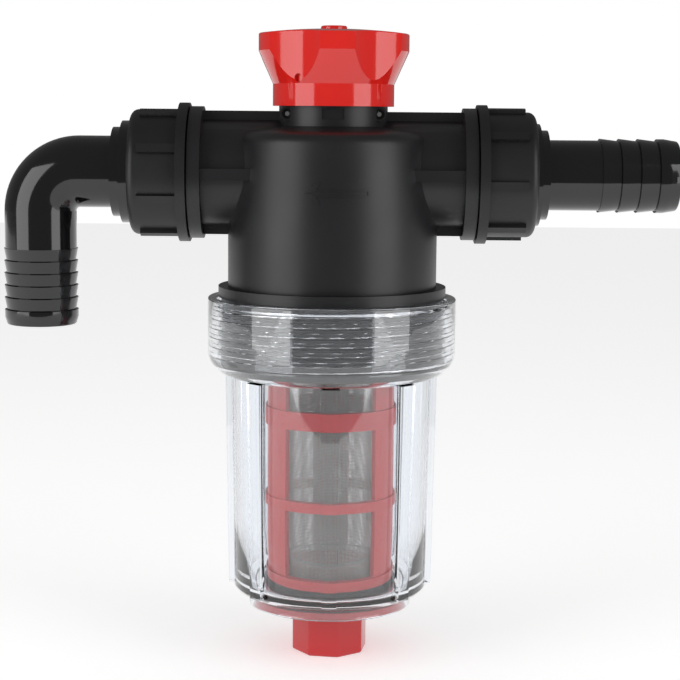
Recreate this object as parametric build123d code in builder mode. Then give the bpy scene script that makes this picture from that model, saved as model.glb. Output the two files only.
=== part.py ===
from build123d import *
import math
import os

# Inline strainer with a T-shaped head, a quarter-turn inlet valve, a clear screw-on bowl,
# a mesh cartridge, a drain plug and two union nuts with hose tails.
# Millimetres. The origin is the centre of the drain plug's foot, +Z is up, the inlet points
# to +X and the outlet to -X. All screw threads are right-hand and are drawn as plain lands.

# Clearances
slack = 0.3            # loose moulded pieces, all round
running = 0.1          # turning fit, radial
pressed = 0.05         # pressed pins and squeezed rings, radial

# Drain plug
foot_height = 22.6     # octagonal grip, foot to the underside of the flange
grip_radius = 16.9     # over the corners
grip_corner = 1.6
drain_flange_radius = 33.0
drain_flange = 2.6
drain_spigot_radius = 17.7
drain_spigot = 14.3    # above the flange
drain_floor = 3.6      # foot of the cup
drain_grip_wall = 3.8  # at the corners of the grip
drain_spigot_wall = 3.1
drain_gasket_thick = 1.8
drain_gasket_inset = 1.2  # inside the flange's edge

# Clear bowl
bowl_floor = 3.0
bowl_wall = 3.2
foot_ring_gap = 1.1    # round the drain plug's flange
foot_ring_wall = 2.4
foot_ring_drop = 4.7   # below the floor's underside
bowl_low_radius = 42.6
bowl_top_radius = 44.0
bowl_turn = 6.4        # height of the turn between the foot ring and the wall
bowl_wall_height = 91.0
bowl_rib_count = 8
bowl_rib_proud = 2.6
bowl_rib_low_width = 6.2
bowl_rib_top_width = 8.2
bowl_rib_start = 3.5   # above the floor's underside
collar_wall = 3.9
thread_room = 2.0      # radial room for the thread between the head's skirt and the collar
collar_turn = 11.0     # height of the curve between the wall and the collar
collar_height = 23.2
ledge_rise = 3.9       # gasket ledge above the wall's top
drain_socket_wall = 2.9
drain_socket_height = 12.0

# Cartridge
mesh_radius = 26.0
mesh_thick = 0.3
frame_wall = 2.2
ring_proud = 1.1
frame_rib_count = 3
frame_rib_angle = 35.0
frame_foot = 4.5       # bottom ring
mid_ring_rise = 38.0   # ring's middle above the cartridge's foot
mid_ring = 4.3
top_ring_rise = 75.5
top_ring = 7.8
lip_rise = 11.7        # cartridge collar above the bowl's gasket ledge
cartridge_head = 10.0  # plain collar at the top of the frame
cartridge_lip = 4.0
bottom_seal_thick = 2.0
bottom_seal_inset = 0.25  # inside the frame's outside
top_seal_thick = 5.0

# Head
port_rise = 48.9       # port axis above the flange's top
wall = 3.5
skirt_radius = 48.4
skirt_wall = 4.9
bowl_gasket_thick = 2.0
head_flange_lip = 1.3  # beyond the skirt
head_flange = 4.5
body_radius = 45.5
body_straight = 27.0   # above the flange
shoulder_radius = 42.3
shoulder_rise = 17.4   # above the port axis
neck_base_rise = 20.4  # above the port axis
neck_top_rise = 31.7
port_radius = 22.9
port_bore = 18.5
port_ring_radius = 28.5
port_ring_in = 56.0
port_ring = 5.3
fin_reach = 26.7
fin_thick = 4.8
spigot_radius = 24.0
spigot = 17.7          # beyond the port ring
inlet_bore = 13.5
bridge_wall = 3.5

# Valve barrel in its sleeve
barrel_radius = 19.9
barrel_wall = 3.5
barrel_foot = 4.1      # from the lower O-ring to the sleeve's step
barrel_rise = 33.2     # above the port axis
barrel_roof_gap = 0.7  # inside, above the window
sleeve_taper = 5.0     # from the barrel's seat down to the narrow part of the sleeve
sleeve_low_bore = 17.0
sleeve_foot_drop = 4.0  # below the cartridge's lip
ring_section = 2.0     # thickness of the barrel's O-rings
ring_gap = 3.7         # from the window's edge to the middle of each O-ring
pin_radius = 1.25
pin_bite = 0.3         # pin's axis inside the barrel's surface
pin_rise = 25.6        # above the port axis
pin_boss_radius = 2.9
pin_boss_reach = 14.6
pin_length = 24.4
groove_slack = 0.35
marker_width = 9.4
marker_height = 4.6
marker_depth = 1.0
stem_flats = 14.0
stem_height = 16.3
screw_radius = 2.4

# Knob
knob_skirt_wall = 2.1
knob_flare = 6.3       # band's radius beyond the skirt's
knob_rise = 28.9       # lower edge above the port axis
knob_skirt = 9.4
knob_cone = 14.0
knob_band = 7.4
knob_dome = 2.0
knob_wall = 2.6
lobe_count = 5
lobe_phase = 2.8       # degrees, front lobe to the right of the front
scallop_step = 0.7     # scallop's floor outside the skirt
scallop_radius = 28.4
knob_hub_radius = 11.4
dot_radius = 1.9
dot_depth = 1.8
dot_rise = 11.6        # above the knob's lower edge
cap_radius = 5.65
cap_stand = 1.5
cap_thick = 5.3
screw_head_radius = 4.6
screw_head = 3.1
screw_length = 16.0

# Union nuts
nut_gap = 0.7          # between the port ring and the nut
nut_room = 0.6         # radial room for the thread on the spigot
nut_wall = 2.4
nut_flange_lip = 3.0
nut_flange = 4.2
nut_end_wall = 2.9
nut_rib_count = 8
nut_rib_width = 3.8
nut_rib_proud = 1.7
nut_rib = 16.4
nut_end_round = 3.2
inlet_nut_phase = 8.0
outlet_nut_phase = 22.5

# Hose tails
union_gasket_thick = 2.0
tail_flange = 3.3
tail_flange_gap = 0.8  # inside the nut's bore
tail_collar_step = 1.7
tail_tube_step = 2.75
barb_radius = 16.0     # for 32 mm hose
barb_depth = 1.0
barb_wall = 2.2
tube_wall = 2.4
end_land = 3.0         # plain land behind the last crest, where the hose is sized
inlet_collar = 4.8
inlet_step = 3.5
inlet_tube = 22.8      # plain tube up to the first barb crest
inlet_barb_pitch = 8.23
inlet_barbs = 4
inlet_end = 9.0        # last crest to the end
outlet_collar = 6.8
outlet_step = 4.0
elbow_wall = 2.7
elbow_run = 14.8       # straight tube before the bend
bend_radius = 17.4
outlet_barb_drop = 33.4  # first crest below the port axis
outlet_barb_pitch = 5.36
outlet_barbs = 6
outlet_end = 6.5

os.makedirs("parts", exist_ok=True)

# Drain plug and bowl, upwards from the foot
drain_flange_z = foot_height + drain_flange
drain_gasket_radius = drain_flange_radius - drain_gasket_inset
drain_bore = grip_radius - drain_grip_wall
drain_mouth = drain_spigot_radius - drain_spigot_wall
foot_ring_bore = drain_flange_radius + foot_ring_gap
foot_ring_radius = foot_ring_bore + foot_ring_wall
floor_under = drain_flange_z + drain_gasket_thick
floor_top = floor_under + bowl_floor
wall_low_z = floor_under + bowl_turn
wall_top_z = wall_low_z + bowl_wall_height
ledge_z = wall_top_z + ledge_rise
collar_low_z = wall_top_z + collar_turn
rim_z = collar_low_z + collar_height
collar_bore = skirt_radius + thread_room
collar_radius = collar_bore + collar_wall

# Head, from the skirt to the neck
skirt_low_z = ledge_z + bowl_gasket_thick
flange_low_z = rim_z + slack
flange_top_z = flange_low_z + head_flange
head_flange_radius = skirt_radius + head_flange_lip
port_z = flange_top_z + port_rise
neck_top_z = port_z + neck_top_rise
spigot_end = port_ring_in + port_ring + spigot

# Cartridge
cartridge_low_z = floor_top + bottom_seal_thick
mid_ring_z = cartridge_low_z + mid_ring_rise
top_ring_z = cartridge_low_z + top_ring_rise
lip_z = ledge_z + lip_rise
cartridge_top_z = lip_z + cartridge_head
frame_inner = mesh_radius + pressed
frame_radius = frame_inner + frame_wall
bottom_seal_radius = frame_radius - bottom_seal_inset

# Valve and its sleeve
ring_rise = inlet_bore + ring_gap
barrel_drop = ring_rise + barrel_foot
barrel_roof = inlet_bore + barrel_roof_gap
sleeve_step = barrel_drop + sleeve_taper
sleeve_bore = barrel_radius + running
sleeve_radius = sleeve_bore + wall
neck_radius = sleeve_radius
sleeve_low_radius = sleeve_low_bore + wall
sleeve_foot_z = lip_z - sleeve_foot_drop
seal_inner = sleeve_low_radius + slack
pin_offset = barrel_radius - pin_bite
pin_z = port_z + pin_rise
knob_low_z = port_z + knob_rise
knob_bore = neck_radius + 2 * slack
knob_skirt_radius = knob_bore + knob_skirt_wall
knob_band_radius = knob_skirt_radius + knob_flare
scallop_depth_radius = knob_skirt_radius + scallop_step

# Unions and hose tails, outwards from the ports
nut_start = port_ring_in + port_ring + nut_gap
tail_start = spigot_end + union_gasket_thick
tail_flange_end = tail_start + tail_flange
nut_end = tail_flange_end + nut_end_wall
nut_bore = spigot_radius + nut_room
nut_radius = nut_bore + nut_wall
nut_flange_radius = nut_radius + nut_flange_lip
nut_rib_radius = nut_radius + nut_rib_proud
tail_flange_radius = nut_bore - tail_flange_gap
tail_collar_radius = tail_flange_radius - tail_collar_step
tail_step_radius = tail_collar_radius - tail_tube_step
barb_root = barb_radius - barb_depth
tail_bore = barb_root - barb_wall
tube_radius = tail_bore + tube_wall
elbow_radius = tail_bore + elbow_wall


def ring(outer, inner, low, high):
    """A plain ring about Z, such as a gasket."""
    with BuildPart() as piece:
        with BuildSketch(Plane.XY.offset(low)):
            Circle(outer)
            Circle(inner, mode=Mode.SUBTRACT)
        extrude(amount=high - low)
    return piece.part


def save(part, name):
    part.label = name
    export_step(part, f"parts/{name}.step")


# Drain plug: a hollow moulded cup with an octagonal grip, open at the top
with BuildPart() as drain_plug:
    with BuildSketch() as grip:
        RegularPolygon(grip_radius, 8, rotation=13 - 90)
        fillet(grip.vertices(), grip_corner)
    extrude(amount=foot_height)
    chamfer(drain_plug.faces().sort_by(Axis.Z)[0].edges(), 0.6)
    with BuildSketch(Plane.XY.offset(foot_height)):
        Circle(drain_flange_radius)
    extrude(amount=drain_flange)
    with BuildSketch(Plane.XY.offset(drain_flange_z)):
        Circle(drain_spigot_radius)
    extrude(amount=drain_spigot)
    chamfer(drain_plug.faces().sort_by(Axis.Z)[-1].edges(), 0.8)
    with BuildSketch(Plane.XY.offset(drain_floor)):
        Circle(drain_bore)
    extrude(amount=drain_flange_z - drain_floor, mode=Mode.SUBTRACT)
    with BuildSketch(Plane.XY.offset(drain_flange_z)):
        Circle(drain_mouth)
    extrude(amount=drain_spigot, mode=Mode.SUBTRACT)
save(drain_plug.part, "drain_plug")

drain_gasket = ring(drain_gasket_radius, drain_spigot_radius + slack,
                    drain_flange_z, floor_under)
save(drain_gasket, "drain_gasket")

# Bowl: one clear moulding with a threaded collar, eight grip ribs and a foot ring
with BuildPart() as rib:
    rib_low_z = floor_under + bowl_rib_start
    rib_top_z = ledge_z
    with BuildSketch(Plane.YZ):
        with BuildLine():
            Polyline(
                (-bowl_rib_low_width / 2, rib_low_z),
                (bowl_rib_low_width / 2, rib_low_z),
                (bowl_rib_top_width / 2, rib_top_z),
                (-bowl_rib_top_width / 2, rib_top_z),
                close=True,
            )
        make_face()
    extrude(amount=bowl_low_radius + bowl_top_radius)
    with BuildSketch(Plane.XZ):
        with BuildLine():
            Polyline(
                (bowl_low_radius - bowl_wall / 2, rib_low_z),
                (bowl_low_radius + bowl_rib_proud, rib_low_z),
                (bowl_top_radius + bowl_rib_proud, rib_top_z),
                (bowl_top_radius - bowl_wall / 2, rib_top_z),
                close=True,
            )
        make_face()
    revolve(axis=Axis.Z, mode=Mode.INTERSECT)

with BuildPart() as bowl:
    with BuildSketch(Plane.XZ):
        with BuildLine():
            Polyline(
                (bowl_low_radius, wall_low_z),
                (bowl_top_radius, wall_top_z),
            )
            EllipticalCenterArc(
                (bowl_top_radius, collar_low_z),
                x_radius=collar_radius - bowl_top_radius,
                y_radius=collar_turn,
                start_angle=-90,
                arc_size=90,
            )
            Polyline(
                (collar_radius, collar_low_z),
                (collar_radius, rim_z),
                (0, rim_z),
                (0, floor_under),
                (foot_ring_radius, floor_under),
            )
            EllipticalCenterArc(
                (foot_ring_radius, wall_low_z),
                x_radius=bowl_low_radius - foot_ring_radius,
                y_radius=bowl_turn,
                start_angle=-90,
                arc_size=90,
            )
        make_face()
    revolve(axis=Axis.Z)
    with BuildSketch(Plane.XY.offset(floor_under - foot_ring_drop)):
        Circle(foot_ring_radius)
        Circle(foot_ring_bore, mode=Mode.SUBTRACT)
    extrude(amount=foot_ring_drop + bowl_floor / 2)
    with PolarLocations(0, bowl_rib_count):
        add(rib.part)
    with BuildSketch(Plane.XZ):
        with BuildLine():
            Polyline(
                (0, floor_top),
                (foot_ring_bore, floor_top),
                (bowl_low_radius - bowl_wall, wall_low_z),
                (bowl_top_radius - bowl_wall, ledge_z),
                (skirt_radius + slack, ledge_z),
                (collar_bore, ledge_z + 2.4),
                (collar_bore, rim_z),
                (0, rim_z),
                close=True,
            )
        make_face()
    revolve(axis=Axis.Z, mode=Mode.SUBTRACT)
    with BuildSketch(Plane.XY.offset(floor_top)):
        Circle(drain_spigot_radius + slack + drain_socket_wall)
    extrude(amount=drain_socket_height)
    with BuildSketch(Plane.XY.offset(floor_under)):
        Circle(drain_spigot_radius + slack)
    extrude(amount=bowl_floor + drain_socket_height, mode=Mode.SUBTRACT)
    fillet(bowl.edges().filter_by(GeomType.CIRCLE).group_by(Axis.Z)[-1], 0.8)
save(bowl.part, "bowl")

bowl_gasket = ring(skirt_radius - slack, skirt_radius - skirt_wall + slack, ledge_z, skirt_low_z)
save(bowl_gasket, "bowl_gasket")

# Cartridge frame: three wide ribs, four rings and a collar that holds the top seal
with BuildPart() as strainer_frame:
    with BuildSketch(Plane.XY.offset(cartridge_low_z)):
        Circle(frame_radius)
        Circle(frame_inner, mode=Mode.SUBTRACT)
    extrude(amount=cartridge_top_z - cartridge_low_z)
    window_edges = [
        (cartridge_low_z + frame_foot, mid_ring_z - mid_ring / 2),
        (mid_ring_z + mid_ring / 2, top_ring_z - top_ring / 2),
        (top_ring_z + top_ring / 2, lip_z),
    ]
    window_angle = 360 / frame_rib_count - frame_rib_angle
    reach = 2 * frame_radius
    for low, high in window_edges:
        with BuildSketch(Plane.XY.offset(low)):
            with PolarLocations(0, frame_rib_count, start_angle=-90):
                with BuildLine(mode=Mode.PRIVATE) as wedge:
                    Polyline(
                        (0, 0),
                        (reach * math.cos(math.radians(window_angle / 2)),
                         -reach * math.sin(math.radians(window_angle / 2))),
                        (reach * math.cos(math.radians(window_angle / 2)),
                         reach * math.sin(math.radians(window_angle / 2))),
                        close=True,
                    )
                add(make_face(wedge.edges(), mode=Mode.PRIVATE))
        extrude(amount=high - low, mode=Mode.SUBTRACT)
    for low, high in [
        (cartridge_low_z, cartridge_low_z + frame_foot),
        (mid_ring_z - mid_ring / 2, mid_ring_z + mid_ring / 2),
        (top_ring_z - top_ring / 2, top_ring_z + top_ring / 2),
        (lip_z, cartridge_top_z),
    ]:
        with BuildSketch(Plane.XY.offset(low)):
            Circle(frame_radius + ring_proud)
            Circle(frame_inner, mode=Mode.SUBTRACT)
        extrude(amount=high - low)
    with BuildSketch(Plane.XY.offset(lip_z)):
        Circle(frame_radius)
        Circle(seal_inner + slack, mode=Mode.SUBTRACT)
    extrude(amount=cartridge_lip)
save(strainer_frame.part, "strainer_frame")

save(ring(mesh_radius, mesh_radius - mesh_thick, cartridge_low_z, lip_z), "strainer_mesh")
save(ring(bottom_seal_radius, drain_spigot_radius + 2 * slack + drain_socket_wall + 1.0,
          floor_top, cartridge_low_z), "strainer_bottom_seal")
save(ring(frame_inner - pressed, seal_inner, lip_z + cartridge_lip,
          lip_z + cartridge_lip + top_seal_thick), "strainer_top_seal")

# Head: body, skirt, ports with stiffening fins, neck, valve sleeve and its bridge to the inlet
with BuildPart() as head:
    with BuildSketch(Plane.XZ):
        with BuildLine():
            Polyline(
                (0, skirt_low_z),
                (skirt_radius, skirt_low_z),
                (skirt_radius, flange_low_z),
                (head_flange_radius, flange_low_z),
                (head_flange_radius, flange_top_z),
                (body_radius, flange_top_z),
                (body_radius, flange_top_z + body_straight),
                (shoulder_radius, port_z + shoulder_rise),
                (neck_radius, port_z + neck_base_rise),
                (neck_radius, neck_top_z),
                (0, neck_top_z),
                close=True,
            )
        make_face()
    revolve(axis=Axis.Z)
    shoulder = head.edges().filter_by(GeomType.CIRCLE).filter_by(
        lambda e: abs(e.radius - shoulder_radius) < 0.01)
    fillet(shoulder, 6.0)
    for side in (1, -1):
        across = Plane(origin=(0, 0, port_z), x_dir=(0, side, 0), z_dir=(side, 0, 0))
        with BuildSketch(across):
            Circle(port_radius)
        extrude(amount=port_ring_in)
        with BuildSketch(across.offset(neck_radius / 2)):
            Rectangle(2 * fin_reach, fin_thick)
            Rectangle(fin_thick, 2 * fin_reach)
        extrude(amount=port_ring_in - neck_radius / 2)
        with BuildSketch(across.offset(port_ring_in)):
            Circle(port_ring_radius)
        extrude(amount=port_ring)
        with BuildSketch(across.offset(port_ring_in + port_ring)):
            Circle(spigot_radius)
        extrude(amount=spigot)
    # The water space round the sleeve
    with BuildSketch(Plane.XZ):
        with BuildLine():
            Polyline(
                (0, skirt_low_z),
                (skirt_radius - skirt_wall, skirt_low_z),
                (skirt_radius - skirt_wall, flange_low_z - wall),
                (body_radius - wall, flange_top_z - wall),
                (body_radius - wall, flange_top_z + body_straight),
                (shoulder_radius - wall, port_z + shoulder_rise - wall),
                (neck_radius, port_z + neck_base_rise - wall),
                (0, port_z + neck_base_rise - wall),
                close=True,
            )
        make_face()
    revolve(axis=Axis.Z, mode=Mode.SUBTRACT)
    # Sleeve of the valve barrel, narrower below the barrel
    with BuildSketch(Plane.XZ):
        with BuildLine():
            Polyline(
                (0, sleeve_foot_z),
                (sleeve_low_radius, sleeve_foot_z),
                (sleeve_low_radius, port_z - sleeve_step - wall),
                (sleeve_radius, port_z - sleeve_step),
                (sleeve_radius, port_z + neck_base_rise),
                (0, port_z + neck_base_rise),
                close=True,
            )
        make_face()
    revolve(axis=Axis.Z)
    inlet_side = Plane(origin=(0, 0, port_z), x_dir=(0, 1, 0), z_dir=(1, 0, 0))
    outlet_side = Plane(origin=(0, 0, port_z), x_dir=(0, -1, 0), z_dir=(-1, 0, 0))
    with BuildSketch(inlet_side):
        Circle(inlet_bore + bridge_wall)
    extrude(amount=body_radius - wall)
    # Bosses for the two retaining pins, front and back
    for side in (1, -1):
        with BuildSketch(Plane(origin=(side * pin_offset, 0, pin_z), x_dir=(1, 0, 0), z_dir=(0, -1, 0))):
            Circle(pin_boss_radius)
        extrude(amount=pin_boss_reach, both=True)
    # Bores
    with BuildSketch(Plane.XY.offset(port_z - barrel_drop)):
        Circle(sleeve_bore)
    extrude(amount=barrel_drop + neck_top_rise, mode=Mode.SUBTRACT)
    with BuildSketch(Plane.XY.offset(sleeve_foot_z)):
        Circle(sleeve_low_bore)
    extrude(amount=port_z - sleeve_foot_z, mode=Mode.SUBTRACT)
    with BuildSketch(inlet_side):
        Circle(inlet_bore)
    extrude(amount=spigot_end, mode=Mode.SUBTRACT)
    with BuildSketch(inlet_side.offset(body_radius)):
        Circle(port_bore)
    extrude(amount=spigot_end - body_radius, mode=Mode.SUBTRACT)
    with BuildSketch(outlet_side.offset(sleeve_radius + 1)):
        Circle(port_bore)
    extrude(amount=spigot_end - sleeve_radius - 1, mode=Mode.SUBTRACT)
    # Pin holes with counterbores, and the recessed marker window on the neck
    for side in (1, -1):
        with BuildSketch(Plane(origin=(side * pin_offset, 0, pin_z), x_dir=(1, 0, 0), z_dir=(0, -1, 0))):
            Circle(pin_radius + pressed)
        extrude(amount=pin_boss_reach, both=True, mode=Mode.SUBTRACT)
        for face in (1, -1):
            with BuildSketch(Plane(origin=(side * pin_offset, -face * pin_length / 2, pin_z),
                                   x_dir=(1, 0, 0), z_dir=(0, -face, 0))):
                Circle(pin_boss_radius - 0.7)
            extrude(amount=pin_boss_reach - pin_length / 2, mode=Mode.SUBTRACT)
    with BuildSketch(Plane(origin=(0, marker_depth - neck_radius, pin_z), x_dir=(1, 0, 0), z_dir=(0, -1, 0))):
        Rectangle(marker_width, marker_height)
    extrude(amount=2 * marker_depth, mode=Mode.SUBTRACT)
save(head.part, "head")

# Retaining pins: steel, pressed through the neck from front to back, running in the groove
for side, name in ((-1, "retaining_pin_left"), (1, "retaining_pin_right")):
    with BuildPart() as pin:
        with BuildSketch(Plane(origin=(side * pin_offset, 0, pin_z), x_dir=(1, 0, 0), z_dir=(0, -1, 0))):
            Circle(pin_radius)
        extrude(amount=pin_length / 2, both=True)
        chamfer(pin.edges().filter_by(GeomType.CIRCLE), 0.3)
    save(pin.part, name)

# Valve barrel: an open-bottomed cup with one round window, turned by its six-sided stem
with BuildPart() as valve_barrel:
    barrel_low_z = port_z - barrel_drop + slack
    barrel_top_z = port_z + barrel_rise
    ring_seat = ring_section + 2 * pressed
    with BuildSketch(Plane.XY.offset(barrel_low_z)):
        Circle(barrel_radius)
    extrude(amount=barrel_top_z - barrel_low_z)
    with BuildSketch(Plane.XY.offset(barrel_low_z)):
        Circle(barrel_radius - barrel_wall)
    extrude(amount=port_z + barrel_roof - barrel_low_z, mode=Mode.SUBTRACT)
    with BuildSketch(Plane(origin=(0, 0, port_z), x_dir=(0, 1, 0), z_dir=(1, 0, 0))):
        Circle(inlet_bore)
    extrude(amount=barrel_radius + 1, mode=Mode.SUBTRACT)
    for height in (port_z - ring_rise, port_z + ring_rise):
        with BuildSketch(Plane.XY.offset(height - ring_seat / 2)):
            Circle(barrel_radius + 1)
            Circle(barrel_radius - ring_section + pressed, mode=Mode.SUBTRACT)
        extrude(amount=ring_seat, mode=Mode.SUBTRACT)
    with BuildSketch(Plane.XY.offset(pin_z - pin_radius - groove_slack)):
        Circle(barrel_radius + 1)
        Circle(pin_offset - pin_radius - groove_slack, mode=Mode.SUBTRACT)
    extrude(amount=2 * (pin_radius + groove_slack), mode=Mode.SUBTRACT)
    # Core pockets in the top, divided by four webs
    with BuildSketch(Plane.XY.offset(port_z + ring_rise + wall)):
        Circle(barrel_radius - 1.3 * barrel_wall)
        Circle(stem_flats / 2 + 3.2, mode=Mode.SUBTRACT)
        Rectangle(2 * barrel_radius, 2.2, mode=Mode.SUBTRACT)
        Rectangle(2.2, 2 * barrel_radius, mode=Mode.SUBTRACT)
    extrude(amount=barrel_rise, mode=Mode.SUBTRACT)
    with BuildSketch(Plane.XY.offset(barrel_top_z)):
        RegularPolygon(stem_flats / 2, 6, major_radius=False)
    extrude(amount=stem_height)
    with BuildSketch(Plane.XY.offset(barrel_top_z + stem_height)):
        Circle(screw_radius + pressed)
    extrude(amount=-screw_length, mode=Mode.SUBTRACT)
save(valve_barrel.part, "valve_barrel")

# O-rings of the barrel
for name, height in (("barrel_lower_ring", port_z - ring_rise), ("barrel_upper_ring", port_z + ring_rise)):
    with BuildPart() as o_ring:
        with BuildSketch(Plane.XZ):
            with Locations((barrel_radius - ring_section / 2 + pressed, height)):
                Circle(ring_section / 2 - pressed / 2)
        revolve(axis=Axis.Z)
    save(o_ring.part, name)

# Knob: five lobes between upright scallops, hollow, with a hub for the six-sided stem
knob_top_z = knob_low_z + knob_skirt + knob_cone + knob_band
with BuildPart() as valve_knob:
    with BuildSketch(Plane.XZ):
        with BuildLine():
            Polyline(
                (0, knob_low_z),
                (knob_skirt_radius, knob_low_z),
                (knob_skirt_radius, knob_low_z + knob_skirt),
                (knob_band_radius, knob_low_z + knob_skirt + knob_cone),
                (knob_band_radius, knob_top_z),
            )
            ThreePointArc(
                (knob_band_radius, knob_top_z),
                (knob_band_radius / 2, knob_top_z + 0.78 * knob_dome),
                (0, knob_top_z + knob_dome),
            )
            Line((0, knob_top_z + knob_dome), (0, knob_low_z))
        make_face()
    revolve(axis=Axis.Z)
    scallop_centre = scallop_depth_radius + scallop_radius
    front_scallop = -90 + lobe_phase + 180 / lobe_count
    with BuildSketch(Plane.XY.offset(knob_low_z)):
        with PolarLocations(scallop_centre, lobe_count, start_angle=front_scallop):
            Circle(scallop_radius)
    extrude(amount=2 * knob_band_radius, mode=Mode.SUBTRACT)
    rim = valve_knob.faces().sort_by(Axis.Z)[-1].edges()
    fillet(rim, 0.7)
with BuildPart() as knob_hollow:
    with BuildSketch(Plane.XZ):
        with BuildLine():
            Polyline(
                (0, knob_low_z),
                (knob_bore, knob_low_z),
                (knob_bore, knob_low_z + knob_skirt),
                (knob_band_radius - knob_wall, knob_low_z + knob_skirt + knob_cone),
                (knob_band_radius - knob_wall, knob_top_z - knob_wall),
                (0, knob_top_z - knob_wall),
                close=True,
            )
        make_face()
    revolve(axis=Axis.Z)
    with BuildSketch(Plane.XY.offset(knob_low_z + knob_skirt)):
        with PolarLocations(scallop_centre, lobe_count, start_angle=front_scallop):
            Circle(scallop_radius + knob_wall)
    extrude(amount=2 * knob_band_radius, mode=Mode.SUBTRACT)
    with BuildSketch(Plane.XY.offset(port_z + barrel_rise)):
        Circle(knob_hub_radius)
    extrude(amount=knob_band_radius, mode=Mode.SUBTRACT)
with BuildPart() as knob:
    add(valve_knob.part)
    add(knob_hollow.part, mode=Mode.SUBTRACT)
    hub_low_z = port_z + barrel_rise
    stem_top_z = hub_low_z + stem_height
    cap_seat_z = knob_top_z + knob_dome + cap_stand - cap_thick
    screw_seat_z = cap_seat_z - screw_head - 0.4
    with BuildSketch(Plane.XY.offset(hub_low_z)):
        RegularPolygon(stem_flats / 2 + pressed, 6, major_radius=False)
    extrude(amount=stem_height + slack, mode=Mode.SUBTRACT)
    with BuildSketch(Plane.XY.offset(stem_top_z)):
        Circle(screw_radius + slack)
    extrude(amount=knob_band_radius, mode=Mode.SUBTRACT)
    with BuildSketch(Plane.XY.offset(screw_seat_z)):
        Circle(screw_head_radius + slack)
    extrude(amount=knob_band_radius, mode=Mode.SUBTRACT)
    with BuildSketch(Plane.XY.offset(cap_seat_z)):
        Circle(cap_radius + running)
    extrude(amount=knob_band_radius, mode=Mode.SUBTRACT)
    dot_angle = math.radians(front_scallop - 360 / lobe_count)
    out = (math.cos(dot_angle), math.sin(dot_angle), 0)
    dot_at = (scallop_depth_radius - dot_depth) * Vector(*out) + Vector(0, 0, knob_low_z + dot_rise)
    with BuildSketch(Plane(origin=dot_at, z_dir=out)):
        Circle(dot_radius)
    extrude(amount=knob_band_radius, mode=Mode.SUBTRACT)
save(knob.part, "valve_knob")

with BuildPart() as knob_screw:
    with BuildSketch(Plane.XY.offset(screw_seat_z)):
        Circle(screw_radius)
    extrude(amount=-screw_length)
    with BuildSketch(Plane.XY.offset(screw_seat_z)):
        Circle(screw_head_radius)
    extrude(amount=screw_head)
    fillet(knob_screw.faces().sort_by(Axis.Z)[-1].edges(), 1.2)
    with BuildSketch(Plane.XY.offset(screw_seat_z + screw_head)):
        Rectangle(4.6, 1.1)
        Rectangle(1.1, 4.6)
    extrude(amount=-1.8, mode=Mode.SUBTRACT)
save(knob_screw.part, "knob_screw")

with BuildPart() as knob_cap:
    with BuildSketch(Plane.XY.offset(cap_seat_z)):
        Circle(cap_radius)
    extrude(amount=cap_thick)
    fillet(knob_cap.faces().sort_by(Axis.Z)[-1].edges(), 0.8)
save(knob_cap.part, "knob_cap")


port_axis = Axis((0, 0, port_z), (1, 0, 0))
port_sketch = Plane(origin=(0, 0, port_z), x_dir=(1, 0, 0), z_dir=(0, -1, 0))


def union_nut(side, phase):
    """A flanged union nut with eight grip ribs, for the inlet (side 1) or the outlet (side -1)."""
    with BuildPart() as nut:
        with BuildSketch(port_sketch) as profile:
            with BuildLine():
                Polyline(
                    (side * nut_start, nut_bore),
                    (side * nut_start, nut_flange_radius),
                    (side * (nut_start + nut_flange), nut_flange_radius),
                    (side * (nut_start + nut_flange), nut_radius),
                    (side * nut_end, nut_radius),
                    (side * nut_end, tail_collar_radius + slack),
                    (side * (nut_end - nut_end_wall), tail_collar_radius + slack),
                    (side * (nut_end - nut_end_wall), nut_bore),
                    close=True,
                )
            make_face()
            fillet(profile.vertices().sort_by(lambda v: side * v.X + v.Y)[-1], nut_end_round)
        revolve(axis=port_axis)
        across = Plane(origin=(side * (nut_start + nut_flange), 0, port_z), x_dir=(0, side, 0),
                       z_dir=(side, 0, 0))
        with BuildSketch(across):
            with PolarLocations((nut_radius + nut_rib_radius) / 2 - 0.5, nut_rib_count, start_angle=phase):
                Rectangle(nut_rib_radius - nut_radius + 1, nut_rib_width)
        extrude(amount=nut_rib)
    return nut.part


def tail_points(side, collar, step):
    """Outline of a hose tail's flange and collars, from the gasket face outwards."""
    collar_end = tail_flange_end + collar
    return [
        (side * tail_start, tail_bore),
        (side * tail_start, tail_flange_radius),
        (side * tail_flange_end, tail_flange_radius),
        (side * tail_flange_end, tail_collar_radius),
        (side * collar_end, tail_collar_radius),
        (side * collar_end, tail_step_radius),
        (side * (collar_end + step), tail_step_radius),
    ]


save(union_nut(1, inlet_nut_phase), "inlet_nut")
save(union_nut(-1, outlet_nut_phase), "outlet_nut")

for side, name in ((1, "inlet_gasket"), (-1, "outlet_gasket")):
    with BuildPart() as gasket:
        with BuildSketch(Plane(origin=(side * spigot_end, 0, port_z), x_dir=(0, side, 0), z_dir=(side, 0, 0))):
            Circle(tail_flange_radius - running)
            Circle(port_bore, mode=Mode.SUBTRACT)
        extrude(amount=union_gasket_thick)
    save(gasket.part, name)

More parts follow.
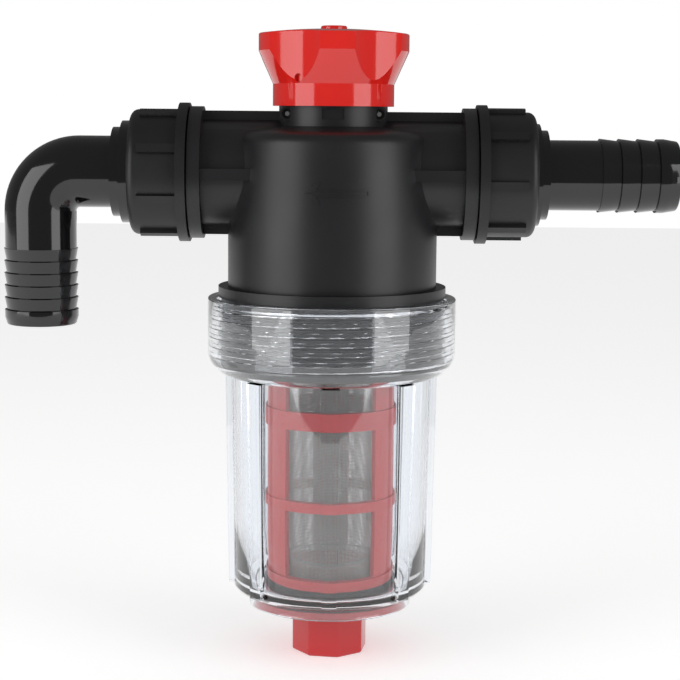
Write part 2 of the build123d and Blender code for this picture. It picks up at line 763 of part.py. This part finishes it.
# Straight inlet tail with four barbs
with BuildPart() as inlet_tail:
    with BuildSketch(port_sketch):
        root = tail_points(1, inlet_collar, inlet_step)
        inlet_barb_x = root[-1][0] + inlet_tube
        outline = root + [
            (root[-1][0], tube_radius),
            (inlet_barb_x, tube_radius),
        ]
        for number in range(inlet_barbs - 1):
            crest = inlet_barb_x + number * inlet_barb_pitch
            outline += [(crest, barb_radius), (crest + inlet_barb_pitch, barb_root)]
        crest = inlet_barb_x + (inlet_barbs - 1) * inlet_barb_pitch
        outline += [
            (crest, barb_radius),
            (crest + end_land, barb_radius),
            (crest + inlet_end, barb_root),
            (crest + inlet_end, tail_bore),
        ]
        with BuildLine():
            Polyline(*outline, close=True)
        make_face()
    revolve(axis=port_axis)
    fillet(inlet_tail.faces().sort_by(Axis.X)[-1].edges(), 0.9)
save(inlet_tail.part, "inlet_tail")

# Outlet elbow with six barbs on its lower leg
with BuildPart() as outlet_elbow:
    with BuildSketch(port_sketch):
        root = tail_points(-1, outlet_collar, outlet_step)
        with BuildLine():
            Polyline(*root, (root[-1][0], tail_bore), close=True)
        make_face()
    revolve(axis=port_axis)
    elbow_start = root[-1][0]
    elbow_stop_z = port_z - outlet_barb_drop
    bend_start = (elbow_start - elbow_run, port_z)
    leg_x = bend_start[0] - bend_radius
    bend_end = (leg_x, port_z - bend_radius)
    with BuildLine(Plane.XZ) as centre_line:
        Line((elbow_start, port_z), bend_start)
        TangentArc(bend_start, bend_end, tangent=(-1, 0))
        Line(bend_end, (leg_x, elbow_stop_z))
    with BuildSketch(Plane(origin=(elbow_start, 0, port_z), x_dir=(0, 1, 0), z_dir=(-1, 0, 0))):
        Circle(elbow_radius)
        Circle(tail_bore, mode=Mode.SUBTRACT)
    sweep(path=centre_line.wires()[0])
    with BuildSketch(Plane(origin=(leg_x, 0, 0), x_dir=(1, 0, 0), z_dir=(0, -1, 0))):
        outline = [(tail_bore, elbow_stop_z)]
        for number in range(outlet_barbs - 1):
            crest = elbow_stop_z - number * outlet_barb_pitch
            outline += [(barb_radius, crest), (barb_root, crest - outlet_barb_pitch)]
        crest = elbow_stop_z - (outlet_barbs - 1) * outlet_barb_pitch
        outline += [
            (barb_radius, crest),
            (barb_radius, crest - end_land),
            (barb_root, crest - outlet_end),
            (tail_bore, crest - outlet_end),
        ]
        with BuildLine():
            Polyline(*outline, close=True)
        make_face()
    revolve(axis=Axis((leg_x, 0, 0), (0, 0, 1)))
    fillet(outlet_elbow.faces().sort_by(Axis.Z)[0].edges(), 0.9)
save(outlet_elbow.part, "outlet_elbow")
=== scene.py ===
import math
import bmesh
import bpy
from mathutils import Matrix, Vector


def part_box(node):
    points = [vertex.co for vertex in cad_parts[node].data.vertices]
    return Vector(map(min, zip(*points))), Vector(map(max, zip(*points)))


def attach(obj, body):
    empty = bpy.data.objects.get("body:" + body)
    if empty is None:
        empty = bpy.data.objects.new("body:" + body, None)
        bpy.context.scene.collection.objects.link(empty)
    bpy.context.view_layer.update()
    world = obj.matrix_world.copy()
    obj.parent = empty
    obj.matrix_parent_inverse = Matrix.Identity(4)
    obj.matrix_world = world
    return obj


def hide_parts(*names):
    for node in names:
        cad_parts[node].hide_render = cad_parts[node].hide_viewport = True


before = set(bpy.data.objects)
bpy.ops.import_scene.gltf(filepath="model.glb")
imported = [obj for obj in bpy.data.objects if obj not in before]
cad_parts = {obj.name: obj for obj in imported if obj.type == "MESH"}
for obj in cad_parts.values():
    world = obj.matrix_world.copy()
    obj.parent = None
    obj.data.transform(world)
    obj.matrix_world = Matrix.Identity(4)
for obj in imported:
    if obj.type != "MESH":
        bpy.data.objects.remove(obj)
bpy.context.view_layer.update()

mm = 0.001


# Head: the black T-shaped body that carries the ports, the neck and the threaded skirt.
# Glass-filled polypropylene, moulded in one shot in a spark-eroded tool, so its black is
# soft, with wide grey highlights and a fine even grain.
def colour(code):
    """Turns an sRGB hex value to the linear colour that a shader takes."""
    channels = [int(code[at:at + 2], 16) / 255 for at in (1, 3, 5)]
    return [c / 12.92 if c <= 0.04045 else ((c + 0.055) / 1.055) ** 2.4 for c in channels] + [1]


def add(tree, kind, fill=None, **settings):
    """Adds a node with its settings, and fills or links its inputs."""
    node = tree.nodes.new(kind)
    for name, value in settings.items():
        setattr(node, name, value)
    for socket, value in (fill or {}).items():
        if isinstance(value, bpy.types.NodeSocket):
            tree.links.new(value, node.inputs[socket])
        else:
            node.inputs[socket].default_value = value
    return node


def finish_of(name, **surface):
    """A new material with one Principled shader; surface gives its sockets' constant values."""
    material = bpy.data.materials.new(name)
    material.use_nodes = True
    material.node_tree.nodes.clear()
    tree = material.node_tree
    shader = add(tree, "ShaderNodeBsdfPrincipled")
    for socket, value in surface.items():
        shader.inputs[socket.replace("_", " ")].default_value = value
    output = add(tree, "ShaderNodeOutputMaterial", {"Surface": shader.outputs["BSDF"]})
    return material, tree, shader, output


def grain(tree, shader, size, height, smear=0.0, dull=0.06, rough=0.4):
    """Moulded grain of that size in metres, and a slow change of gloss over 20 mm or so."""
    place = add(tree, "ShaderNodeTexCoord").outputs["Object"]
    fine = add(tree, "ShaderNodeTexNoise", {"Vector": place, "Scale": 1 / size, "Detail": 2.0})
    bump = add(tree, "ShaderNodeBump", {"Height": fine.outputs["Fac"], "Distance": height, "Strength": 1.0})
    tree.links.new(bump.outputs["Normal"], shader.inputs["Normal"])
    slow = add(tree, "ShaderNodeTexNoise", {"Vector": place, "Scale": 50.0, "Detail": 3.0, "Distortion": smear})
    gloss = add(tree, "ShaderNodeMapRange", {
        "Value": slow.outputs["Fac"], "From Min": 0.3, "From Max": 0.7,
        "To Min": rough - dull, "To Max": rough + dull})
    tree.links.new(gloss.outputs["Result"], shader.inputs["Roughness"])
    return place


def glass_filled_polypropylene():
    material, tree, shader, _ = finish_of(
        "glass_filled_polypropylene", Base_Color=colour("#1b1b1d"), IOR=1.49)
    grain(tree, shader, size=0.55 * mm, height=0.008 * mm, rough=0.38, dull=0.03)
    return material


def dress(name, material, crease=32):
    """Gives a solid its finish; curved faces shade smooth, and edges past the crease stay sharp."""
    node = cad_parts[name]
    node.data.materials.clear()
    node.data.materials.append(material)
    if "custom_normal" in node.data.attributes:
        node.data.attributes.remove(node.data.attributes["custom_normal"])
    node.data.polygons.foreach_set("use_smooth", [True] * len(node.data.polygons))
    weld = node.modifiers.new("weld", "WELD")
    weld.merge_threshold = 0.002 * mm
    edges = node.modifiers.new("edges", "EDGE_SPLIT")
    edges.split_angle = math.radians(crease)
    return node


def mesh_object(name, vertices, faces, material, body, crease=32):
    """A piece of its own from vertices and faces, on its body."""
    mesh = bpy.data.meshes.new(name)
    mesh.from_pydata(vertices, [], faces)
    form = bmesh.new()
    form.from_mesh(mesh)
    bmesh.ops.remove_doubles(form, verts=form.verts, dist=0.001 * mm)
    bmesh.ops.recalc_face_normals(form, faces=form.faces)
    for face in form.faces:
        face.smooth = True
    for edge in form.edges:
        edge.smooth = len(edge.link_faces) == 2 and edge.calc_face_angle(0) < math.radians(crease)
    form.to_mesh(mesh)
    form.free()
    mesh.materials.append(material)
    piece = bpy.data.objects.new(name, mesh)
    bpy.context.scene.collection.objects.link(piece)
    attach(piece, body)
    return piece


head_black = glass_filled_polypropylene()
dress("head", head_black)


def helix_ridge(name, material, body, centre, along, root, crest, pitch, turns, land, around, phase=0.0):
    """A right-hand thread: a ridge with sloping flanks wound round the axis from centre, run out at both ends."""
    steps = 72
    rows = []
    for step in range(int(steps * turns) + 1):
        angle = 2 * math.pi * step / steps
        rise = pitch * step / steps
        fade = min(1.0, step / 18, (steps * turns - step) / 18)
        tip = root + (crest - root) * fade
        foot = land / 2 + 0.45 * abs(crest - root)
        inside = root - math.copysign(0.25 * mm, crest - root)
        row = []
        for radius, shift in ((inside, -foot), (root, -foot), (tip, -land / 2), (tip, land / 2), (root, foot), (inside, foot)):
            swing = angle + phase
            row.append(centre + along * (rise + shift) + radius * (
                math.cos(swing) * around + math.sin(swing) * along.cross(around)))
        rows.append(row)
    vertices = [tuple(point) for row in rows for point in row]
    width = len(rows[0])
    faces = []
    for at in range(len(rows) - 1):
        for side in range(width):
            nxt = (side + 1) % width
            faces.append((at * width + side, at * width + nxt, (at + 1) * width + nxt, (at + 1) * width + side))
    faces.append(tuple(range(width)))
    faces.append(tuple((len(rows) - 1) * width + side for side in range(width)))
    return mesh_object(name, vertices, faces, material, body)


port_z = 212.3 * mm
skirt_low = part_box("head")[0].z
bowl_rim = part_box("bowl")[1].z
skirt_radius = 48.4 * mm
bowl_pitch = 4.0 * mm
up = Vector((0, 0, 1))
front = Vector((0, -1, 0))
helix_ridge("skirt_thread", head_black, "head", Vector((0, 0, skirt_low + 2.6 * mm)), up,
            skirt_radius, skirt_radius + 1.05 * mm, bowl_pitch, 5.75, 0.9 * mm, front)
union_pitch = 3.0 * mm
spigot_start = 62.6 * mm
spigot_radius = 24.0 * mm
for side, end in ((1, "inlet"), (-1, "outlet")):
    outward = Vector((side, 0, 0))
    helix_ridge(f"{end}_port_thread", head_black, "head",
                Vector((side * spigot_start, 0, port_z)) + outward * 1.2 * mm, outward,
                spigot_radius, spigot_radius + 0.42 * mm, union_pitch, 4.4, 0.7 * mm, up)


# Flow arrow: a raised outline moulded with the head, a third of a millimetre proud of the front,
# pointing to the outlet. It is as black as the head, and only its edges catch the light.
def dense(points, step):
    """A closed outline with extra points, so that it can bend round the body."""
    finer = []
    for start, end in zip(points, points[1:] + points[:1]):
        count = max(1, round(math.dist(start, end) / step))
        finer += [(start[0] + (end[0] - start[0]) * k / count, start[1] + (end[1] - start[1]) * k / count)
                  for k in range(count)]
    return finer


def flow_arrow():
    tip, neck, tail = -12.5 * mm, -7.2 * mm, 15.3 * mm
    middle = port_z - 6.8 * mm
    shaft, barb, line = 1.35 * mm, 4.9 * mm, 0.55 * mm
    back = -5.6 * mm
    proud, sunk = 0.35 * mm, 0.4 * mm
    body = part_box("head")[1].y - 4.2 * mm
    outside = [(tip, 0), (back, -barb), (back + line, -barb + line), (neck + line, -shaft), (tail, -shaft),
               (tail, shaft), (neck + line, shaft), (back + line, barb - line), (back, barb)]
    inside = [(tip + 2.2 * line, 0), (neck + 0.2 * line, -shaft + line), (tail - line, -shaft + line),
              (tail - line, shaft - line), (neck + 0.2 * line, shaft - line)]
    form = bmesh.new()
    for outline in (outside, inside):
        ring = [form.verts.new((x, 0, middle + z)) for x, z in dense(outline, 1.6 * mm)]
        for one, other in zip(ring, ring[1:] + ring[:1]):
            form.edges.new((one, other))
    bmesh.ops.triangle_fill(form, edges=form.edges, use_beauty=True)
    raised = bmesh.ops.extrude_face_region(form, geom=form.faces[:])
    top = {v for v in raised["geom"] if isinstance(v, bmesh.types.BMVert)}
    narrowing = (45.5 - 42.3) / (229.7 - 190.4)
    for v in form.verts:
        here = body - max(0.0, v.co.z - 190.4 * mm) * narrowing + (proud if v in top else -sunk)
        v.co.y = -math.sqrt(here ** 2 - v.co.x ** 2)
    bmesh.ops.recalc_face_normals(form, faces=form.faces)
    mesh = bpy.data.meshes.new("flow_arrow")
    form.to_mesh(mesh)
    form.free()
    mesh.materials.append(head_black)
    piece = bpy.data.objects.new("flow_arrow", mesh)
    bpy.context.scene.collection.objects.link(piece)
    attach(piece, "head")


flow_arrow()


# Retaining pins and knob screw: stainless steel, turned and cut off, with a bright end face.
# The pins are pressed through the neck; the screw holds the knob on the barrel's stem.
def turned_stainless():
    material, tree, shader, _ = finish_of("turned_stainless", Base_Color=colour("#c9c8c6"), Metallic=1.0)
    place = add(tree, "ShaderNodeTexCoord").outputs["Object"]
    rings = add(tree, "ShaderNodeTexNoise", {"Vector": place, "Scale": 4000.0, "Detail": 1.0})
    rough = add(tree, "ShaderNodeMapRange", {"Value": rings.outputs["Fac"], "To Min": 0.18, "To Max": 0.34})
    tree.links.new(rough.outputs["Result"], shader.inputs["Roughness"])
    return material


stainless = turned_stainless()
for name in ("retaining_pin_left", "retaining_pin_right", "knob_screw"):
    dress(name, stainless)


# Valve barrel and its O-rings: a dark grey acetal cup that the knob turns, sealed by black
# nitrile rings. Only the window's edge shows, through the inlet bore.
def natural_acetal():
    material, tree, shader, _ = finish_of("natural_acetal", Base_Color=colour("#3d3e40"), IOR=1.48)
    grain(tree, shader, size=0.8 * mm, height=0.004 * mm, rough=0.30, dull=0.05)
    return material


def nitrile_rubber():
    material, tree, shader, _ = finish_of("nitrile_rubber", Base_Color=colour("#141414"), IOR=1.52)
    grain(tree, shader, size=0.4 * mm, height=0.010 * mm, rough=0.62, dull=0.08)
    return material


rubber = nitrile_rubber()
dress("valve_barrel", natural_acetal())
for name in ("barrel_lower_ring", "barrel_upper_ring"):
    dress(name, rubber)


# Knob and its cap: red ABS, moulded in a polished tool, so its red is clean and glossy and
# mirrors the lamps in sharp-edged bands.
def polished_abs(name, red, rough):
    material, tree, shader, _ = finish_of(
        name, Base_Color=colour(red), IOR=1.54, Coat_Weight=0.35, Coat_Roughness=0.05, Coat_IOR=1.5)
    grain(tree, shader, size=6 * mm, height=0.006 * mm, rough=rough, dull=0.02)
    return material


knob_red = polished_abs("polished_abs", "#e0231c", 0.12)
dress("valve_knob", knob_red, 24)
dress("knob_cap", knob_red)


# Cartridge frame: red polypropylene with three wide ribs, moulded round the mesh.
# A satin surface, since the tool for an inner piece isn't polished.
def satin_polypropylene():
    material, tree, shader, _ = finish_of(
        "satin_polypropylene", Base_Color=colour("#d8262a"), IOR=1.49, Subsurface_Weight=0.08,
        Subsurface_Radius=(2.0 * mm, 0.6 * mm, 0.4 * mm), Subsurface_Scale=1.0)
    grain(tree, shader, size=0.6 * mm, height=0.006 * mm, rough=0.34, dull=0.05)
    return material


dress("strainer_frame", satin_polypropylene())
for name in ("strainer_top_seal", "strainer_bottom_seal"):
    dress(name, rubber)


# Strainer mesh: plain-woven stainless wire, rolled to a tube. The real wires are finer and
# closer; here they are drawn at about 0.6 mm so that they still show.
def woven_wire():
    material, tree, shader, _ = finish_of("woven_wire", Base_Color=colour("#a9a39d"), Metallic=1.0)
    place = add(tree, "ShaderNodeTexCoord").outputs["Object"]
    tarnish = add(tree, "ShaderNodeTexNoise", {"Vector": place, "Scale": 120.0, "Detail": 4.0})
    tone = add(tree, "ShaderNodeMix", {
        "Factor": tarnish.outputs["Fac"], 6: colour("#8f8983"), 7: colour("#c4bfb8")}, data_type="RGBA")
    tree.links.new(tone.outputs[2], shader.inputs["Base Color"])
    rough = add(tree, "ShaderNodeMapRange", {"Value": tarnish.outputs["Fac"], "To Min": 0.30, "To Max": 0.45})
    tree.links.new(rough.outputs["Result"], shader.inputs["Roughness"])
    return material


def wire_tree():
    """Upright wires round the tube, and hoops up it."""
    tree = bpy.data.node_groups.new("woven_tube", "GeometryNodeTree")
    for name, kind in (("Radius", "NodeSocketFloat"), ("Low", "NodeSocketFloat"), ("High", "NodeSocketFloat"),
                       ("Wire", "NodeSocketFloat"), ("Uprights", "NodeSocketInt"), ("Hoops", "NodeSocketInt"),
                       ("Material", "NodeSocketMaterial")):
        tree.interface.new_socket(name, in_out="INPUT", socket_type=kind)
    tree.interface.new_socket("Geometry", in_out="OUTPUT", socket_type="NodeSocketGeometry")
    given = add(tree, "NodeGroupInput").outputs
    low = add(tree, "ShaderNodeCombineXYZ", {"Z": given["Low"]})
    high = add(tree, "ShaderNodeCombineXYZ", {"Z": given["High"]})
    half = add(tree, "ShaderNodeMath", {0: given["Wire"], 1: 0.5}, operation="MULTIPLY")
    section = add(tree, "GeometryNodeCurvePrimitiveCircle", {"Resolution": 4, "Radius": half.outputs[0]})
    upright = add(tree, "GeometryNodeCurvePrimitiveLine", {"Start": low.outputs[0], "End": high.outputs[0]})
    rod = add(tree, "GeometryNodeCurveToMesh", {
        "Curve": upright.outputs["Curve"], "Profile Curve": section.outputs["Curve"], "Fill Caps": True})
    feet = add(tree, "GeometryNodeMeshCircle", {"Vertices": given["Uprights"], "Radius": given["Radius"]})
    rods = add(tree, "GeometryNodeInstanceOnPoints", {
        "Points": feet.outputs["Mesh"], "Instance": rod.outputs["Mesh"]})
    hoop_radius = add(tree, "ShaderNodeMath", {0: given["Radius"], 1: half.outputs[0]}, operation="ADD")
    circle = add(tree, "GeometryNodeCurvePrimitiveCircle", {"Resolution": 96, "Radius": hoop_radius.outputs[0]})
    hoop = add(tree, "GeometryNodeCurveToMesh", {
        "Curve": circle.outputs["Curve"], "Profile Curve": section.outputs["Curve"]})
    levels = add(tree, "GeometryNodeMeshLine", {
        "Count": given["Hoops"], "Start Location": low.outputs[0], "Offset": high.outputs[0]}, mode="END_POINTS")
    hoops = add(tree, "GeometryNodeInstanceOnPoints", {
        "Points": levels.outputs["Mesh"], "Instance": hoop.outputs["Mesh"]})
    both = add(tree, "GeometryNodeJoinGeometry")
    tree.links.new(rods.outputs["Instances"], both.inputs["Geometry"])
    tree.links.new(hoops.outputs["Instances"], both.inputs["Geometry"])
    real = add(tree, "GeometryNodeRealizeInstances", {"Geometry": both.outputs["Geometry"]})
    smooth = add(tree, "GeometryNodeSetShadeSmooth", {"Geometry": real.outputs["Geometry"]})
    painted = add(tree, "GeometryNodeSetMaterial", {
        "Geometry": smooth.outputs["Geometry"], "Material": given["Material"]})
    add(tree, "NodeGroupOutput", {"Geometry": painted.outputs["Geometry"]})
    return tree


def grown(name, tree, values, body):
    """A plain mesh from a tree of geometry nodes, on its body."""
    seed = bpy.data.objects.new(name + "_seed", bpy.data.meshes.new(name + "_seed"))
    bpy.context.scene.collection.objects.link(seed)
    modifier = seed.modifiers.new("grow", "NODES")
    modifier.node_group = tree
    for socket in tree.interface.items_tree:
        if socket.in_out == "INPUT" and socket.name in values:
            modifier[socket.identifier] = values[socket.name]
    bpy.context.view_layer.update()
    done = seed.evaluated_get(bpy.context.evaluated_depsgraph_get())
    mesh = bpy.data.meshes.new_from_object(done)
    mesh.name = name
    seed.modifiers.remove(modifier)
    bpy.data.objects.remove(seed)
    piece = bpy.data.objects.new(name, mesh)
    bpy.context.scene.collection.objects.link(piece)
    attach(piece, body)
    return piece


mesh_low, mesh_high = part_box("strainer_mesh")
wire = 0.26 * mm
woven = grown("wire_mesh", wire_tree(), {
    "Radius": mesh_high.x - 1.5 * wire, "Low": mesh_low.z + wire, "High": mesh_high.z - wire, "Wire": wire,
    "Uprights": 264, "Hoops": 168, "Material": woven_wire()}, "bowl")
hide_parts("strainer_mesh")


# Bowl: clear styrene-acrylonitrile, one moulding with a threaded collar, eight grip ribs and a
# foot ring. Clear with a faint haze, and every rib edge and thread turn draws a bright line.
def clear_styrene():
    material, tree, shader, _ = finish_of(
        "clear_styrene", Base_Color=colour("#f4f7fb"), IOR=1.57, Transmission_Weight=1.0, Coat_Weight=0.6,
        Coat_IOR=1.55, Coat_Roughness=0.02)
    grain(tree, shader, size=14 * mm, height=0.004 * mm, rough=0.03, dull=0.01)
    return material


def bowl_rows():
    """The bowl's section: (radius, height, rib there, thread there), from the rim round the outside and back up inside."""
    def arc(cx, cz, radius, start, stop, count, rib=0.0):
        return [(cx + radius * math.cos(math.radians(a)), cz + radius * math.sin(math.radians(a)), rib, False)
                for a in [start + (stop - start) * k / count for k in range(count + 1)]]

    rows = []
    rim, low = 158.5, 27.0
    rows += arc(53.5, rim - 0.8, 0.8, 90, 0, 4)
    # A curve of radius 11 from the collar to the wall, centred at the collar turn's height
    centre_x, centre_z = 54.3 - 11.0, 135.4
    rows += arc(centre_x, centre_z, 11.0, 0, -84, 12)
    # The wall, with ribs that stand 2.6 proud from just under the collar to the foot
    rib_top, rib_low = 125.0, 30.5
    for height in (124.2, 122.0, 100.0, 78.0, 56.0, 40.0, rib_low + 1.0):
        share = (height - 33.4) / 91.0
        rows.append((42.6 + 1.4 * share, height, 2.6, False))
    rows.append((42.55, rib_low, 2.6, False))
    rows.append((42.55, rib_low - 0.01, 0.0, False))
    rows += [(42.2, 30.0, 0, False), (41.2, 28.9, 0, False), (39.6, 27.9, 0, False), (37.9, 27.3, 0, False)]
    rows += [(36.5, 26.9, 0, False), (36.5, 22.9, 0, False), (36.2, 22.3, 0, False)]
    rows += [(34.4, 22.3, 0, False), (34.1, 22.6, 0, False), (34.1, low, 0, False)]
    rows += [(18.0, low, 0, False), (18.0, 42.0, 0, False), (20.9, 42.0, 0, False), (20.9, 30.0, 0, False)]
    rows += [(34.1, 30.0, 0, False), (36.5, 30.9, 0, False), (38.6, 32.4, 0, False), (39.5, 34.4, 0, False)]
    rows += [(39.9, 60.0, 0, False), (40.4, 90.0, 0, False), (40.8, 128.2, 0, False)]
    rows += [(48.7, 128.3, 0, False), (50.4, 130.6, 0, False)]
    count = 200
    for step in range(count + 1):
        rows.append((50.4, 131.0 + (rim - 1.2 - 131.0) * step / count, 0, True))
    rows += [(50.6, rim - 0.6, 0, False), (51.2, rim, 0, False), (53.5, rim, 0, False)]
    return rows


def clear_bowl():
    sectors, rib_columns, wall_columns = 8, 4, 14
    pitch, ridge, land, flank = 4.0, 1.1, 1.5, 0.2
    vertices, faces = [], []
    rows = bowl_rows()
    for radius, height, rib, threaded in rows:
        share = (height - 30.5) / 96.0
        width = 6.2 + 2.0 * max(0.0, min(1.0, share))
        half = math.asin(width / 2 / 44.0)
        sector = 2 * math.pi / sectors
        for number in range(sectors):
            start = number * sector - math.pi / 2
            angles = [(start - half, 0.0)]
            angles += [(start - half + 2 * half * k / (rib_columns - 1), rib) for k in range(rib_columns)]
            angles += [(start + half, 0.0)]
            angles += [(start + half + (sector - 2 * half) * (k + 1) / (wall_columns + 1), 0.0)
                       for k in range(wall_columns)]
            for angle, proud in angles:
                out = radius + proud
                if threaded:
                    along = (height - 133.4 - pitch * (angle + math.pi / 2) / (2 * math.pi) - pitch / 2) % pitch
                    off = min(along, pitch - along)
                    edge = max(0.0, min(1.0, 1 - (off - land / 2) / flank))
                    fade = max(0.0, min(1.0, (height - 131.5) / 2.0, (156.6 - height) / 1.5))
                    out = radius - ridge * edge * fade
                vertices.append((out * mm * math.cos(angle), out * mm * math.sin(angle), height * mm))
    width = sectors * (rib_columns + 2 + wall_columns)
    for row in range(len(rows) - 1):
        for column in range(width):
            nxt = (column + 1) % width
            faces.append((row * width + column, row * width + nxt, (row + 1) * width + nxt, (row + 1) * width + column))
    faces += [((len(rows) - 1) * width + column, (len(rows) - 1) * width + (column + 1) % width,
               (column + 1) % width, column) for column in range(width)]
    piece = mesh_object("clear_bowl", vertices, faces, clear_styrene(), "bowl", 28)
    edges = piece.modifiers.new("edges", "BEVEL")
    edges.limit_method = "ANGLE"
    edges.angle_limit = math.radians(50)
    edges.width = 0.25 * mm
    edges.segments = 2
    edges.harden_normals = False
    return piece


bowl = clear_bowl()
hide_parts("bowl")
dress("bowl_gasket", rubber)


# Drain plug: red polypropylene, screwed into the floor of the bowl against a flat gasket.
# Its flange lies under the clear floor, and its eight-sided grip is what the hand turns.
drain_red = polished_abs("smooth_polypropylene", "#cf2428", 0.22)
dress("drain_plug", drain_red, 24)
dress("drain_gasket", rubber)


# Hose tails: a straight inlet tail and an outlet elbow, moulded in black nylon in polished
# tools, so they are the glossiest black here. Their barbs hold a hose.
def polished_nylon():
    material, tree, shader, _ = finish_of(
        "polished_nylon", Base_Color=colour("#101012"), IOR=1.53, Coat_Weight=0.3, Coat_Roughness=0.03)
    grain(tree, shader, size=7 * mm, height=0.006 * mm, rough=0.10, dull=0.02)
    return material


tail_black = polished_nylon()
for name in ("inlet_tail", "outlet_elbow"):
    dress(name, tail_black)
for name in ("inlet_gasket", "outlet_gasket"):
    dress(name, rubber)


# Union nuts: black polypropylene with a coarse spark-eroded grain, screwed on the ports.
# Eight grip ribs stand round each, and the flange meets the port ring.
def eroded_polypropylene():
    material, tree, shader, _ = finish_of(
        "eroded_polypropylene", Base_Color=colour("#161617"), IOR=1.49)
    grain(tree, shader, size=0.7 * mm, height=0.014 * mm, rough=0.44, dull=0.04)
    return material


nut_black = eroded_polypropylene()
for name in ("inlet_nut", "outlet_nut"):
    dress(name, nut_black)


# Stage: a white table top that ends half a metre in front, a white room, and two tall soft
# boxes beside the camera. The room is white to the camera and through the clear bowl. Its own
# reflection in glossy plastic is dimmer, as the side of a room behind the camera is.
def stage():
    table_mesh = bpy.data.meshes.new("table")
    side, back, front_edge = 3.0, 3.0, 0.50
    table_mesh.from_pydata([(-side, -front_edge, 0), (side, -front_edge, 0), (side, back, 0), (-side, back, 0)],
                           [], [(0, 1, 2, 3)])
    table = bpy.data.objects.new("table", table_mesh)
    bpy.context.scene.collection.objects.link(table)
    material = bpy.data.materials.new("white_laminate")
    material.use_nodes = True
    tree = material.node_tree
    tree.nodes.clear()
    matt = add(tree, "ShaderNodeBsdfDiffuse", {"Color": colour("#e8e8e8")})
    glow = add(tree, "ShaderNodeEmission", {"Color": colour("#ffffff"), "Strength": 0.45})
    lit = add(tree, "ShaderNodeAddShader")
    tree.links.new(matt.outputs[0], lit.inputs[0])
    tree.links.new(glow.outputs[0], lit.inputs[1])
    path = add(tree, "ShaderNodeLightPath")
    seen = add(tree, "ShaderNodeMath", {0: path.outputs["Is Camera Ray"], 1: path.outputs["Is Glossy Ray"]},
               operation="MAXIMUM")
    through = add(tree, "ShaderNodeMath", {0: seen.outputs[0], 1: path.outputs["Is Transmission Ray"]},
                  operation="MAXIMUM")
    mixed = add(tree, "ShaderNodeMixShader", {0: through.outputs[0], 1: matt.outputs[0], 2: lit.outputs[0]})
    add(tree, "ShaderNodeOutputMaterial", {"Surface": mixed.outputs[0]})
    table_mesh.materials.append(material)

    world = bpy.data.worlds.new("white_room")
    bpy.context.scene.world = world
    world.use_nodes = True
    tree = world.node_tree
    tree.nodes.clear()
    fill, mirrored = 0.50, 0.16
    path = add(tree, "ShaderNodeLightPath")
    clear = add(tree, "ShaderNodeMath", {0: path.outputs["Is Camera Ray"], 1: path.outputs["Is Transmission Ray"]},
                operation="MAXIMUM")
    glossy = add(tree, "ShaderNodeMapRange", {
        "Value": path.outputs["Is Glossy Ray"], "To Min": fill, "To Max": mirrored})
    strength = add(tree, "ShaderNodeMix", {
        "Factor": clear.outputs[0], 2: glossy.outputs["Result"], 3: 1.0}, data_type="FLOAT")
    sky = add(tree, "ShaderNodeBackground", {"Color": colour("#ffffff"), "Strength": strength.outputs[0]})
    add(tree, "ShaderNodeOutputWorld", {"Surface": sky.outputs[0]})

    target = Vector((0, 0, 0.16))
    for name, angle, width, tall, power in (("left_box", -56, 0.72, 1.2, 6.4), ("right_box", 56, 0.64, 1.2, 5.6)):
        lamp = bpy.data.lights.new(name, "AREA")
        lamp.shape = "RECTANGLE"
        lamp.size = width
        lamp.size_y = tall
        lamp.energy = power
        lamp_object = bpy.data.objects.new(name, lamp)
        turn = math.radians(angle)
        lamp_object.location = target + Vector((math.sin(turn), -math.cos(turn), 0.10))
        lamp_object.rotation_euler = (target - lamp_object.location).to_track_quat("-Z", "Y").to_euler()
        bpy.context.scene.collection.objects.link(lamp_object)


stage()


# Camera: where the photograph was taken from, a little above the ports, looking slightly down.
lens_px, frame_px = 1718, 680
camera = bpy.data.cameras.new("camera")
camera.sensor_width = 36
camera.lens = 36 * lens_px / frame_px
camera.clip_start = 0.01
camera_object = bpy.data.objects.new("camera", camera)
bpy.context.scene.collection.objects.link(camera_object)
pitch, roll = math.radians(7.43), math.radians(0.5)
camera_object.matrix_world = (
    Matrix.Translation((0.0037, -0.750, 0.2371))
    @ Matrix.Rotation(math.pi / 2 - pitch, 4, "X")
    @ Matrix.Rotation(roll, 4, "Z"))
bpy.context.scene.camera = camera_object
bpy.context.scene.view_settings.view_transform = "Standard"
